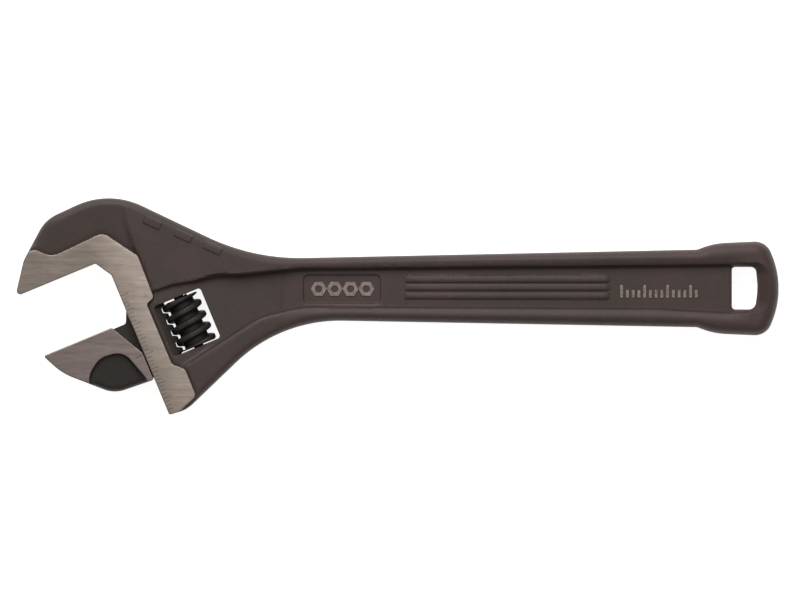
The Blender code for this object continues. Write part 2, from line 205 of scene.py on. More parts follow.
class Loop:
    """A closed outline in a flat frame, in millimetres."""

    def __init__(self, corners: Sequence[Corner], step: float, reach: float = 400.0) -> None:
        """Rounds the corners and splits the long runs.

        Args:
            corners: x, y and radius of each corner.
            step: the longest run between two points of the drawn line.
            reach: how far outside the outline its distance still matters.
        """
        self.turns = rounded(corners)
        self.step = step
        self.reach = reach
        self.points = self._spaced(step)

    def _spaced(self, step: float) -> np.ndarray:
        """Splits every run of the outline into equal lengths.

        Args:
            step: the longest of those lengths.

        Returns:
            The points, one row each.
        """
        rows = []
        for start, end in zip(self.turns, np.roll(self.turns, -1, axis=0)):
            count = max(1, math.ceil(np.linalg.norm(end - start) / step))
            rows.append(start + (end - start) * (np.arange(count) / count)[:, None])
        return np.vstack(rows)

    def distance(self, spots: np.ndarray) -> np.ndarray:
        """The distance of each spot from the outline, positive inside it.

        Args:
            spots: rows of x and y.

        Returns:
            One distance for each row. Spots further outside than the loop's reach get minus the reach.
        """
        found = np.full(len(spots), -self.reach)
        low = self.turns.min(0) - self.reach
        high = self.turns.max(0) + self.reach
        near = np.flatnonzero(((spots > low) & (spots < high)).all(1))
        starts = self.turns
        runs = np.roll(starts, -1, axis=0) - starts
        squares = (runs * runs).sum(1)
        for first in range(0, len(near), CHUNK):
            rows = near[first:first + CHUNK]
            part = spots[rows, None, :] - starts
            share = np.clip((part * runs).sum(2) / squares, 0.0, 1.0)
            gap = part - share[..., None] * runs
            length = np.sqrt((gap * gap).sum(2).min(1))
            up = part[..., 1] < 0
            crossed = up != (part[..., 1] < runs[:, 1])
            rise = np.where(runs[:, 1] == 0, 1.0, runs[:, 1])
            crossed &= part[..., 0] < runs[:, 0] * part[..., 1] / rise
            inside = crossed.sum(1) % 2 == 1
            found[rows] = np.where(inside, length, -np.minimum(length, self.reach))
        return found

    def ring(self, offset: float, step: float) -> np.ndarray:
        """Spots that run along the outline at one distance from it.

        Args:
            offset: the distance, positive inside the outline.
            step: the length between spots.

        Returns:
            The spots that really lie at that distance.
        """
        line = self._spaced(step)
        ahead = np.roll(line, -1, axis=0) - np.roll(line, 1, axis=0)
        ahead /= np.maximum(np.linalg.norm(ahead, axis=1), 1e-9)[:, None]
        side = np.stack([-ahead[:, 1], ahead[:, 0]], axis=1)
        best = np.empty((0, 2))
        for sign in (1.0, -1.0):
            spots = line + side * offset * sign
            true = np.abs(self.distance(spots) - offset) < 0.03 * abs(offset) + 0.01
            if true.sum() > len(best):
                best = spots[true]
        return best


class Sheet:
    """One side of a forging: a flat net of triangles that follows the outlines of its relief."""

    def __init__(self, edge: Loop, holes: Sequence[Loop]) -> None:
        """Starts the net.

        Args:
            edge: the outline of the forging.
            holes: the outlines of the holes through it.
        """
        self.edge = edge
        self.holes = list(holes)
        self.creases: list[Loop] = [edge, *holes]
        self.spots = np.empty((0, 2))

    def room(self, spots: np.ndarray) -> np.ndarray:
        """The distance of each spot from the nearest edge, positive on material."""
        gaps = [self.edge.distance(spots)] + [-hole.distance(spots) for hole in self.holes]
        return np.min(gaps, axis=0)

    def _known(self) -> kdtree.KDTree:
        """Gathers every spot and crease point so far.

        Returns:
            A search tree of them.
        """
        rows = np.vstack([self.spots, *(crease.points for crease in self.creases)])
        tree = kdtree.KDTree(len(rows))
        for index, (x, y) in enumerate(rows):
            tree.insert((x, y, 0.0), index)
        tree.balance()
        return tree

    def add(self, spots: np.ndarray, gap: float) -> None:
        """Adds the spots that lie on material and clear of what is there.

        Args:
            spots: rows of x and y.
            gap: how near a new spot may be to an old one.
        """
        spots = spots[self.room(spots) > gap * 0.5]
        tree = self._known()
        kept = [row for row in spots if tree.find((row[0], row[1], 0.0))[2] > gap]
        if kept:
            self.spots = np.vstack([self.spots, np.array(kept)])

    def add_rings(self, loop: Loop, offsets: Sequence[float], step: float) -> None:
        """Adds lines of spots beside an outline, at the offsets given, nearest first."""
        for offset in sorted(offsets, key=abs):
            self.add(loop.ring(offset, step), min(0.55 * step, 0.45 * max(abs(offset), 0.1)))

    def fill(self, pitch: float) -> None:
        """Fills what is left with a staggered grid of spots.

        Args:
            pitch: the length between two spots of a row.
        """
        low, high = self.edge.turns.min(0), self.edge.turns.max(0)
        rows = []
        for index, y in enumerate(np.arange(low[1], high[1], pitch * ROW_HEIGHT)):
            xs = np.arange(low[0] + (index % 2) * pitch / 2, high[0], pitch)
            rows.append(np.stack([xs, np.full(len(xs), y)], axis=1))
        self.add(np.vstack(rows), pitch * 0.62)

    def triangles(self) -> tuple[np.ndarray, np.ndarray]:
        """Joins every spot into triangles that follow the creases.

        Returns:
            The points, and the three point numbers of each triangle on material.
        """
        rows, edges, start = [], [], 0
        for crease in self.creases:
            count = len(crease.points)
            rows.append(crease.points)
            edges += [(start + i, start + (i + 1) % count) for i in range(count)]
            start += count
        rows.append(self.spots)
        coords = [Vector(row) for row in np.vstack(rows)]
        made = geometry.delaunay_2d_cdt(coords, edges, [], 0, 1e-5, False)
        points = np.array([tuple(point) for point in made[0]])
        faces = np.array([face for face in made[2] if len(face) == 3])
        inside = self.room(points[faces].mean(1)) > 0
        return points, faces[inside]


@dataclass
class Relief:
    """A solid made of two mirrored sheets, raised by a height at each spot."""

    sheet: Sheet
    height: Callable[[np.ndarray], np.ndarray]
    finish_of: Callable[[np.ndarray], np.ndarray]
    wear_of: Callable[[np.ndarray], np.ndarray]

    def build(self) -> bmesh.types.BMesh:
        """Raises the sheet, drops its edges to the middle plane and mirrors it.

        Returns:
            A closed bmesh in millimetres, with a wear value on each vertex and its finishes numbered.
        """
        points, faces = self.sheet.triangles()
        heights, wear = self.height(points), self.wear_of(points)
        finishes = self.finish_of(points[faces].mean(1))
        bm = bmesh.new()
        worn = bm.verts.layers.float.new("wear")
        verts = []
        for (x, y), z, amount in zip(points, heights, wear):
            vert = bm.verts.new((x, y, z))
            vert[worn] = amount
            verts.append(vert)
        for corners, finish in zip(faces, finishes):
            face = bm.faces.new([verts[i] for i in corners])
            face.material_index = int(finish)
            face.smooth = True
        loose = [vert for vert in bm.verts if not vert.link_faces]
        bmesh.ops.delete(bm, geom=loose, context="VERTS")
        rim = [edge for edge in bm.edges if edge.is_boundary]
        for vert in verts_of(bmesh.ops.extrude_edge_only(bm, edges=rim)):
            vert.co.z = 0.0
        bmesh.ops.mirror(bm, geom=[*bm.verts, *bm.edges, *bm.faces], axis="Z", merge_dist=1e-4)
        bmesh.ops.recalc_face_normals(bm, faces=bm.faces)
        return bm


class Layout:
    """The row's frame seen from the wrench's own frames."""

    def __init__(self) -> None:
        """Finds the head's place from the worm's joint, and the handle's from the head's."""
        worm = next(joint for joint in frame["joints"] if joint["name"] == "worm_spin")
        down = Vector(worm["axis"]).normalized()
        across = Vector((0, 0, 1)).cross(down)
        turn = Matrix((across, -down, Vector((0, 0, 1)))).transposed().to_4x4()
        throat = Vector(worm["pos_m"]) - across * WORM_X * MM - down * WORM_MIDDLE * MM
        scale = Matrix.Scale(MM, 4)
        self.head = Matrix.Translation(throat) @ turn @ scale
        self.handle = Matrix.Translation(throat) @ scale @ Matrix.Translation((-THROAT[0], -THROAT[1], 0))
        self.jaw = self.head @ Matrix.Translation((0, -OPENING, 0))
        self.worm = self.head @ Matrix.Translation((WORM_X, -WORM_MIDDLE, 0))


def new_object(
    name: str, bm: bmesh.types.BMesh, place: Matrix, materials: Sequence[Material] = ()
) -> Thing:
    """Makes an object at the origin from a bmesh in millimetres, which is freed.

    Args:
        name: the object's name.
        bm: its shape in one of the wrench's frames.
        place: that frame's place in the row.
        materials: its finishes, in the order of its faces' numbers.

    Returns:
        The new object, linked to the scene.
    """
    bmesh.ops.transform(bm, matrix=place, verts=bm.verts)
    mesh = bpy.data.meshes.new(name)
    for material in materials:
        mesh.materials.append(material)
    bm.to_mesh(mesh)
    bm.free()
    thing = bpy.data.objects.new(name, mesh)
    bpy.context.scene.collection.objects.link(thing)
    return thing


def combine(thing: Thing, other: Thing, operation: str) -> None:
    """Joins or cuts one object with another, which is removed.

    Args:
        thing: the object that changes.
        other: what is joined to it or cut from it.
        operation: UNION, DIFFERENCE or INTERSECT.
    """
    modifier = thing.modifiers.new(other.name, "BOOLEAN")
    modifier.operation = operation
    modifier.solver = "MANIFOLD"
    modifier.object = other
    bpy.context.view_layer.update()
    graph = bpy.context.evaluated_depsgraph_get()
    made = bpy.data.meshes.new_from_object(thing.evaluated_get(graph))
    thing.modifiers.clear()
    thing.data = made
    bpy.data.objects.remove(other)


def prism(name: str, corners: Sequence[Corner], low: float, high: float, place: Matrix) -> Thing:
    """Raises a flat outline from one height to another.

    Args:
        name: the object's name.
        corners: x, y and radius of each corner of the outline.
        low: the height of its under side.
        high: the height of its top.
        place: the place of its frame in the row.

    Returns:
        The new object.
    """
    bm = bmesh.new()
    base = bm.faces.new([bm.verts.new((x, y, low)) for x, y in rounded(corners)])
    top = verts_of(bmesh.ops.extrude_face_region(bm, geom=[base]))
    bmesh.ops.translate(bm, verts=top, vec=(0, 0, high - low))
    bmesh.ops.recalc_face_normals(bm, faces=bm.faces)
    return new_object(name, bm, place)


def turned(
    name: str, profile: Sequence[tuple[float, float]], x: float, steps: int, place: Matrix
) -> Thing:
    """Spins a profile about a line along y.

    Args:
        name: the object's name.
        profile: radius and y of each point, from the axis to the axis.
        x: where the line is.
        steps: how many steps a full turn has.
        place: the place of its frame in the row.

    Returns:
        The new object.
    """
    bm = bmesh.new()
    verts = [bm.verts.new((radius, y, 0)) for radius, y in profile]
    edges = [bm.edges.new(pair) for pair in zip(verts, verts[1:])]
    bmesh.ops.spin(
        bm, geom=[*verts, *edges], cent=(0, 0, 0), axis=(0, 1, 0), angle=FULL_TURN, steps=steps,
        use_merge=True,
    )
    bmesh.ops.remove_doubles(bm, verts=bm.verts, dist=1e-4)
    bmesh.ops.recalc_face_normals(bm, faces=bm.faces)
    bmesh.ops.translate(bm, verts=bm.verts, vec=(x, 0, 0))
    return new_object(name, bm, place)


def rod(
    name: str, radius: float, low: float, high: float, x: float, place: Matrix, chamfer: float = 0.0
) -> Thing:
    """Turns a plain round bar along y.

    Args:
        name: the object's name.
        radius: its radius.
        low: where its lower end is.
        high: where its upper end is.
        x: where its axis is.
        place: the place of its frame in the row.
        chamfer: how far its ends are chamfered.

    Returns:
        The new object.
    """
    upper = [(radius - chamfer, high), (radius, high - chamfer)]
    lower = [(radius, low + chamfer), (radius - chamfer, low)]
    if chamfer == 0:
        upper, lower = upper[:1], lower[:1]
    return turned(name, [(0, high), *upper, *lower, (0, low)], x, ROD_STEPS, place)


class Nodes:
    """A material's node tree, with short ways to add to it."""

    def __init__(self, name: str) -> None:
        """Starts a material with one Principled shader.

        Args:
            name: the material's name.
        """
        self.material = bpy.data.materials.new(name)
        self.material.use_nodes = True
        self.tree = self.material.node_tree
        self.shader = self.tree.nodes["Principled BSDF"]
        self.spot = self.tree.nodes.new("ShaderNodeTexCoord").outputs["Object"]

    def put(self, target: Socket, value: object) -> None:
        """Gives an input a value, or joins it to another node's output.

        Args:
            target: the input.
            value: a value or a socket.
        """
        if isinstance(value, Socket):
            self.tree.links.new(value, target)
        else:
            target.default_value = value

    def feed(self, inputs: dict[str, object]) -> None:
        """Gives the shader's own inputs a value or a socket each."""
        for name, value in inputs.items():
            self.put(self.shader.inputs[name], value)

    def add(self, kind: str, inputs: dict, **settings: object) -> bpy.types.Node:
        """Adds a node.

        Args:
            kind: the node's type, without its ShaderNode prefix.
            inputs: a value or a socket for each input, by name or number.
            settings: the node's own settings.

        Returns:
            The node.
        """
        node = self.tree.nodes.new("ShaderNode" + kind)
        for name, value in settings.items():
            setattr(node, name, value)
        for name, value in inputs.items():
            self.put(node.inputs[name], value)
        return node

    def math(self, operation: str, *values: object) -> Socket:
        """The result of a Math node on values or sockets."""
        return self.add("Math", dict(enumerate(values)), operation=operation).outputs[0]

    def plus(self, first: object, second: object) -> Socket:
        """The sum of two values or sockets."""
        return self.math("ADD", first, second)

    def times(self, first: object, second: object) -> Socket:
        """The product of two values or sockets."""
        return self.math("MULTIPLY", first, second)

    def noise(self, scale: float, detail: float, spot: Socket | None = None) -> Socket:
        """The value of a noise of that many patches a metre."""
        inputs = {"Vector": spot or self.spot, "Scale": scale, "Detail": detail, "Roughness": 0.6}
        return self.add("TexNoise", inputs).outputs["Fac"]

    def ranged(
        self, value: Socket, low: float, high: float, to_low: float = 0.0, to_high: float = 1.0
    ) -> Socket:
        """A value moved from one range to another and held there."""
        inputs = {"Value": value, "From Min": low, "From Max": high, "To Min": to_low, "To Max": to_high}
        return self.add("MapRange", inputs).outputs["Result"]

    def spread(self, noise: Socket, low: float, high: float) -> Socket:
        """A noise spread from low to high."""
        return self.ranged(noise, NOISE_LOW, NOISE_HIGH, low, high)

    def blend(self, share: object, first: object, second: object) -> Socket:
        """Mixes two colours.

        Args:
            share: how much of the second, as a value or a socket.
            first: a tint or a socket.
            second: a tint or a socket.

        Returns:
            The mixed colour.
        """
        node = self.add("Mix", {0: share}, data_type="RGBA")
        for index, value in ((6, first), (7, second)):
            is_socket = isinstance(value, Socket)
            self.put(node.inputs[index], value if is_socket else (*value, 1.0))
        return node.outputs[2]

    def toned(self, colour: Socket, tone: Socket) -> Socket:
        """A colour made lighter or darker by a tone."""
        return self.add("VectorMath", {0: colour, "Scale": tone}, operation="SCALE").outputs[0]

    def wear(self) -> Socket:
        """How rubbed a spot is, as its mesh says."""
        return self.add("Attribute", {}, attribute_name="wear").outputs["Fac"]

    def bump(self, height: Socket, distance: float, strength: float) -> None:
        """Gives the shader a bump from a height, as deep as distance in metres."""
        node = self.add("Bump", {"Height": height, "Distance": distance, "Strength": strength})
        self.put(self.shader.inputs["Normal"], node.outputs["Normal"])

    def along(self, place: Matrix, axis: int) -> Socket:
        """Measures a spot along one axis of a frame.

        Args:
            place: the frame's place in the row.
            axis: 0 for its x and 1 for its y.

        Returns:
            The coordinate, in the frame's millimetres.
        """
        inverse = place.inverted()
        row = Vector(inverse[axis][:3])
        dot = self.add("VectorMath", {0: self.spot, 1: row}, operation="DOT_PRODUCT").outputs["Value"]
        return self.plus(dot, inverse[axis][3])


@dataclass(frozen=True)
class ForgedCoat:
    """The thin dark coating over the forging's own grain."""

    name: str = "forged_coat"
    light: Tint = (0.084, 0.053, 0.050)
    dark: Tint = (0.066, 0.049, 0.041)
    rubbed: Tint = (0.130, 0.098, 0.088)
    roughness: float = 0.52
    specular: float = 0.36
    patch_scale: float = 38.0
    chip_scale: float = 420.0
    speck_scale: float = 900.0
    grain_scale: float = 2600.0

    def material(self) -> Material:
        """Builds the coating: two browns in soft patches, fine grain, and rubbed high edges.

        Returns:
            The material.
        """
        nodes = Nodes(self.name)
        patches = nodes.ranged(nodes.noise(self.patch_scale, 3.0), 0.38, 0.62)
        specks = nodes.noise(self.speck_scale, 4.0)
        grain = nodes.noise(self.grain_scale, 2.0)
        colour = nodes.toned(nodes.blend(patches, self.light, self.dark), nodes.spread(specks, 0.90, 1.08))
        chips = nodes.ranged(nodes.noise(self.chip_scale, 5.0), 0.46, 0.66)
        rub = nodes.times(nodes.wear(), nodes.plus(0.25, nodes.times(0.75, chips)))
        nodes.feed({
            "Base Color": nodes.blend(rub, colour, self.rubbed),
            "Roughness": nodes.spread(specks, self.roughness - 0.06, self.roughness + 0.08),
            "Specular IOR Level": self.specular,
        })
        nodes.bump(nodes.plus(nodes.times(0.6, specks), nodes.times(0.4, grain)), 0.00007, 0.6)
        return nodes.material


@dataclass(frozen=True)
class Etching:
    """Thin dark lines marked across a ground face, in a frame's millimetres.

    Lines lie at first, first - pitch and so on down y, as far as last, from x = start for a length.
    Every so many lines one is longer.
    """

    first: float
    last: float
    pitch: float
    start: float
    length: float
    long_length: float
    long_every: int
    width: float


@dataclass(frozen=True)
class PaintedSheen:
    """A sheen painted into a ground face's colour in place of reflected light: x or y of two lines across it,
    and its tone at each.
    """

    across: tuple[float, float, float, float]
    down: tuple[float, float, float, float] = (-1.0, 0.0, 1.0, 1.0)


@dataclass(frozen=True)
class GroundSteel:
    """Bare steel ground flat, with the grain of the belt across it."""

    name: str
    tint: Tint
    place: Matrix
    etching: Etching
    painted_sheen: PaintedSheen
    grain_turn: float
    roughness: float = 0.36
    cloud_scale: float = 30.0
    stain_scale: float = 160.0
    streak_scale: float = 700.0
    grain_scale: float = 2600.0
    grain_stretch: float = 0.09
    stain: Tint = (0.20, 0.155, 0.125)
    ink: Tint = (0.07, 0.05, 0.045)
    ink_share: float = 0.55

    def etched(self, nodes: Nodes) -> Socket:
        """A mask of the etched lines.

        Args:
            nodes: the material they go on.

        Returns:
            A value of 1 on a line and 0 off it.
        """
        mark = self.etching
        across, down = nodes.along(self.place, 0), nodes.along(self.place, 1)
        steps = nodes.math("DIVIDE", nodes.math("SUBTRACT", mark.first, down), mark.pitch)
        nearest = nodes.math("ROUND", steps)
        off = nodes.times(nodes.math("ABSOLUTE", nodes.math("SUBTRACT", steps, nearest)), mark.pitch)
        line = nodes.ranged(off, mark.width * 0.35, mark.width * 0.65, 1.0, 0.0)
        is_long = nodes.math("LESS_THAN", nodes.math("FLOORED_MODULO", nearest, float(mark.long_every)), 0.5)
        end = nodes.plus(mark.start + mark.length, nodes.times(is_long, mark.long_length - mark.length))
        last_step = (mark.first - mark.last) / mark.pitch
        for limit in (
            nodes.math("GREATER_THAN", across, mark.start),
            nodes.math("LESS_THAN", across, end),
            nodes.math("GREATER_THAN", steps, -0.5),
            nodes.math("LESS_THAN", steps, last_step + 0.5),
        ):
            line = nodes.times(line, limit)
        return line

    def material(self) -> Material:
        """Builds the steel: a warm tint, belt grain, a few stains, the etched lines, and a painted sheen for
        reflected light.

        Returns:
            The material.
        """
        nodes = Nodes(self.name)
        turn, stretch = (0, 0, self.grain_turn), (self.grain_stretch, 1.0, 1.0)
        belt = nodes.add("Mapping", {"Vector": nodes.spot, "Rotation": turn, "Scale": stretch}).outputs[0]
        grain = nodes.noise(self.grain_scale, 3.0, belt)
        streaks = nodes.noise(self.streak_scale, 2.0, belt)
        clouds = nodes.noise(self.cloud_scale, 3.0)
        tone = nodes.plus(nodes.spread(streaks, -0.10, 0.10), nodes.spread(clouds, 0.93, 1.07))
        tone = nodes.plus(tone, nodes.spread(grain, -0.11, 0.11))
        # Painted sheen: the tone is scaled along the face's x and y, lighter toward one end and darker toward
        # the other, in place of reflected light.
        for axis, ends in enumerate((self.painted_sheen.across, self.painted_sheen.down)):
            tone = nodes.times(tone, nodes.ranged(nodes.along(self.place, axis), *ends))
        plain = nodes.add("RGB", {}).outputs[0]
        plain.default_value = (*self.tint, 1.0)
        stains = nodes.ranged(nodes.noise(self.stain_scale, 6.0), 0.62, 0.74, 0.0, 0.35)
        colour = nodes.blend(stains, nodes.toned(plain, tone), self.stain)
        mark = self.etched(nodes)
        rough = nodes.spread(streaks, self.roughness - 0.05, self.roughness + 0.07)
        nodes.feed({
            "Base Color": nodes.blend(nodes.times(mark, self.ink_share), colour, self.ink),
            "Roughness": nodes.plus(rough, nodes.times(mark, 0.25)),
            "Metallic": 1.0,
        })
        nodes.bump(nodes.plus(grain, streaks), 0.000012, 0.5)
        return nodes.material


@dataclass(frozen=True)
class BlackOxide:
    """Blackened steel with a film of oil, rubbed where it turns against its mate."""

    name: str = "black_oxide"
    tint: Tint = (0.020, 0.017, 0.015)
    faded: Tint = (0.028, 0.025, 0.021)
    rubbed: Tint = (0.048, 0.042, 0.037)
    cloud_scale: float = 300.0
    mark_scale: float = 2400.0

    def material(self) -> Material:
        """Builds the oxide: near black, slightly brown, with lighter crests and turning marks.

        Returns:
            The material.
        """
        nodes = Nodes(self.name)
        cloud = nodes.noise(self.cloud_scale, 4.0)
        fine = nodes.noise(self.mark_scale, 3.0)
        rub = nodes.times(nodes.wear(), nodes.ranged(cloud, 0.35, 0.65, 0.15, 1.0))
        colour = nodes.blend(nodes.spread(cloud, 0.0, 1.0), self.tint, self.faded)
        nodes.feed({
            "Base Color": nodes.blend(rub, colour, self.rubbed),
            "Roughness": nodes.spread(fine, 0.46, 0.62),
            "Metallic": 0.3,
        })
        nodes.bump(fine, 0.00003, 0.5)
        return nodes.material


@dataclass(frozen=True)
class BareMark:
    """The rubbed tops of raised marks, where the coating has come off."""

    name: str = "bare_mark"
    dull: Tint = (0.20, 0.155, 0.140)
    bright: Tint = (0.40, 0.315, 0.285)
    speck_scale: float = 1300.0

    def material(self) -> Material:
        """Builds a dull grey metal with worn specks.

        Returns:
            The material.
        """
        nodes = Nodes(self.name)
        specks = nodes.noise(self.speck_scale, 5.0)
        nodes.feed({
            "Base Color": nodes.blend(nodes.ranged(specks, 0.35, 0.62), self.dull, self.bright),
            "Roughness": nodes.spread(specks, 0.42, 0.6),
            "Metallic": 0.5,
        })
        nodes.bump(specks, 0.00004, 0.5)
        return nodes.material


@dataclass(frozen=True)
class SpringWire:
    """Drawn spring wire."""

    name: str = "spring_wire"
    dark: Tint = (0.16, 0.15, 0.14)
    light: Tint = (0.26, 0.25, 0.24)
    mark_scale: float = 3000.0

    def material(self) -> Material:
        """Builds grey wire with fine draw marks.

        Returns:
            The material.
        """
        nodes = Nodes(self.name)
        fine = nodes.noise(self.mark_scale, 3.0)
        nodes.feed({
            "Base Color": nodes.blend(fine, self.dark, self.light),
            "Roughness": nodes.spread(fine, 0.3, 0.45),
            "Metallic": 0.9,
        })
        nodes.bump(fine, 0.00002, 0.4)
        return nodes.material


def smooth(thing: Thing, sharp: float) -> None:
    """Shades a piece smooth, with sharp edges over an angle in degrees."""
    thing.data.shade_smooth()
    thing.data.set_sharp_from_angle(angle=math.radians(sharp))


def painted(thing: Thing, materials: Sequence[Material], number: int) -> Thing:
    """Finishes a part that is about to be joined to a piece or cut from it.

    Args:
        thing: the part.
        materials: the piece's materials.
        number: the number of the one that all the part's faces get.

    Returns:
        The part.
    """
    for material in materials:
        thing.data.materials.append(material)
    for polygon in thing.data.polygons:
        polygon.material_index = number
    return thing


def held_in(thing: Thing, node: str) -> None:
    """Brings the few points of a rounder outline that pass the CAD solid's box back onto it.

    Args:
        thing: the piece.
        node: the solid's name.
    """
    low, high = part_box(node)
    for vert in thing.data.vertices:
        vert.co = [min(max(value, least), most) for value, least, most in zip(vert.co, low, high)]


def hand_over(thing: Thing, body: Body, node: str) -> None:
    """Rides a piece on its body in place of a CAD node, and logs its size.

    Args:
        thing: the piece.
        body: the body it rides on.
        node: the CAD node it stands for.
    """
    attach(thing, body.value)
    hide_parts(node)
    log.info("%s: %d faces, stands for %s", thing.name, len(thing.data.polygons), node)


@dataclass
class WrenchBody:
    """The forging: fixed jaw, head, neck and handle.

    Levels are heights over the middle plane. A run is the two x between which something changes.
    """

    layout: Layout
    head_level: float = 8.3
    grip_level: float = 6.0
    taper_run: tuple[float, float] = (78.0, 124.0)
    forged_edge: float = 3.2
    grip_more: float = 0.6
    grip_more_run: tuple[float, float] = (90.0, 130.0)
    boss_more: float = 1.0
    boss_more_run: tuple[float, float] = (268.0, 284.0)
    ground_edge: float = 0.35
    hole_edge: float = 0.8
    window_edge: float = 0.3
    step_width: float = 1.3
    groove_depth: float = 0.5
    groove_half: float = 0.6
    dish_level: float = 6.6
    dish_slope: float = 0.10
    dish_top: float = 8.2
    pad_rise: float = 0.50
    mark_rise: float = 0.35
    web_level: float = 2.5
    neck_level: float = 7.4
    neck_slope: float = 0.1
    neck_start: float = 11.0
    neck_step: float = 0.35
    neck_foot_run: tuple[float, float] = (105.5, 106.3)
    recess_depth: float = 0.7
    rail_fall: float = 0.75
    rail_span: tuple[float, float] = (-3.4, -0.2)
    grip_run: tuple[float, float] = (96.0, 122.0)
    hole_run: tuple[float, float] = (284.0, 295.0)
    wall_outer: float = 0.7
    wall_outer_by_hole: float = 0.2
    wall_softer: float = 1.3
    softest_x: float = 80.0
    soft_reach: tuple[float, float] = (-9.0, -1.0)
    wall_inner: float = 0.8
    wall_inner_more: float = 2.8
    wall_inner_run: tuple[float, float] = (283.0, 297.0)
    ribs: tuple[float, ...] = (3.7, 0.45, -2.95)
    rib_half: float = 1.5
    rib_height: float = 0.70
    rib_start: float = 154.7
    rib_end: float = 237.5
    rib_run: float = 1.6
    bore_radius: float = 6.2
    bore_top: float = 4.5
    slot_half: float = 2.95
    seat_radius: float = 2.3
    seat_foot: float = -57.0
    seat_top: float = -18.3
    mouth_radius: float = 3.3
    mouth_top: float = -47.1
    below_head: float = -78.0
    outline: Loop = field(init=False)
    ground: Loop = field(init=False)
    panel: Loop = field(init=False)
    dish: Loop = field(init=False)
    frame_recess: Loop = field(init=False)
    hole: Loop = field(init=False)
    window: Loop = field(init=False)
    pads: list[Loop] = field(init=False)
    marks: list[Loop] = field(init=False)
    eyes: list[Loop] = field(init=False)

    def __post_init__(self) -> None:
        """Draws every outline of the relief, in the handle's frame."""
        self.outline = Loop(self._edge_corners(), 0.9)
        self.ground = Loop([
            (-6.0, 10.4, 0), (7.4, 15.4, 3.2), (14.0, 12.5, 7.0), (34.4, 22.2, 5.0), (48.4, 12.9, 3.0),
            (54.7, -3.6, 1.3), (51.9, -6.3, 1.4), (62.1, -30.5, 2.6), (67.3, -32.4, 2.4), (71.7, -43.1, 2.2),
            (60.0, -53.4, 0), on_head(-4, -72), on_head(-4, -12), on_head(-10, -4), on_head(-46, -4),
        ], 0.5)
        self.panel = Loop([
            (300.6, 10.7, 5.5), (281, 9.3, 12), (113, 7.7, 60), (80, 4.3, 90), (62, 1.3, 6), (50, -3.0, 3),
            (60, -33.5, 2), (66.5, -31.2, 3), (97.4, -11.4, 22), (114, -7.4, 40), (255, -8.2, 80),
            (283, -9.7, 10), (300.6, -10.4, 5.5),
        ], 0.9)
        self.dish = Loop([
            (-8, 45, 0), (41.5, 45, 0), (42.4, 33, 8), (43.5, 25.4, 20), (47.6, 14, 0), (30, 5, 0),
            (-8, 5, 0),
        ], 0.9)
        self.frame_recess = Loop(box_corners(114.7, -6.0, 145.5, 5.4, 2), 0.8, 3.0)
        self.hole = Loop([
            (286.05, -8.4, 1.3), (295.3, -8.4, 3.0), (296.45, 0.1, 28), (295.6, 8.55, 2.2),
            (286.05, 8.55, 1.3),
        ], 0.7)
        self.window = Loop([on_head(x, y, 1.2) for x, y, _ in box_corners(10.7, -46.4, 30.84, -24.9)], 0.7)
        turn, places = math.radians(-24.0), ((54.1, 26.3), (66.5, 21.1), (78.4, 16.1))
        self.pads = [self._slab(x, y, 7.4, 3.0, turn, 0.4) for x, y in places]
        first_nut, nut_pitch, nut_y = 120.8, 6.35, -0.2
        nuts = [first_nut + nut_pitch * index for index in range(4)]
        self.marks = [self._nut(x, nut_y, 3.3) for x in nuts]
        self.eyes = [self._disc(x, nut_y, 1.35) for x in nuts]
        first_bar, bar_pitch, bar_width, bar_foot = 242.0, 2.3, 1.35, -3.8
        for index in range(14):
            tall = 5.2 if index % 4 == 0 else 3.2
            x = first_bar + bar_pitch * index
            self.marks.append(self._slab(x, bar_foot + tall / 2, bar_width, tall, 0.0, 0.15))

    @staticmethod
    def _edge_corners() -> list[Corner]:
        """Lists the corners of the forging's outline.

        Returns:
            Their x, y and radius, from the tip of the fixed jaw round the throat and the handle.
        """
        length, boss, half_boss = 304.8, 272.2, 19.0
        crown_radius, slope = 35.0, math.radians(21.8)
        crown = length + crown_radius * (1 / math.cos(slope) - 1)
        corner_x = crown - half_boss * math.tan(slope)
        lower = [(boss, -15.55, 3.0), (boss + 6.4, -18.05, 30.0), (corner_x, -half_boss, 7.0)]
        upper = [(x, -y, radius) for x, y, radius in reversed(lower)]
        return [
            on_head(-38.93, 0, 1.5), on_head(-4.1, 0, 0.8), on_head(0, -6.7, 1.5), on_head(0, -67.2, 0.8),
            on_head(7.3, -68.0, 14), (105.6, -12.5, 60), *lower, (crown, 0, crown_radius), *upper,
            (94.8, 11.8, 86), on_head(12.16, 25.17, 31), on_head(-15.93, 23.96, 15),
            on_head(-30.21, 12.21, 10),
        ]

    @staticmethod
    def _slab(x: float, y: float, length: float, width: float, turn: float, radius: float) -> Loop:
        """Draws a rounded rectangle about a point.

        Args:
            x: where the point is.
            y: where the point is.
            length: its length, before it is turned.
            width: its width.
            turn: how far it is turned.
            radius: the radius of its corners.

        Returns:
            The outline.
        """
        spin = Matrix.Rotation(turn, 2)
        corners = []
        for along, across, _ in box_corners(-1, -1, 1, 1):
            place = spin @ Vector((along * length / 2, across * width / 2))
            corners.append((x + place.x, y + place.y, radius))
        return Loop(corners, 0.6, 2.0)

    @staticmethod
    def _nut(x: float, y: float, radius: float) -> Loop:
        """Draws a hexagon about a point.

        Args:
            x: where the point is.
            y: where the point is.
            radius: how far its corners are from the point.

        Returns:
            The outline.
        """
        angles = [math.radians(60 * index) for index in range(6)]
        corners = [(x + radius * math.cos(angle), y + radius * math.sin(angle), 0.2) for angle in angles]
        return Loop(corners, 0.6, 2.0)

    @staticmethod
    def _disc(x: float, y: float, radius: float) -> Loop:
        """A circle about a point."""
        return Loop(box_corners(x - radius, y - radius, x + radius, y + radius, radius * 0.999), 0.4, 2.0)

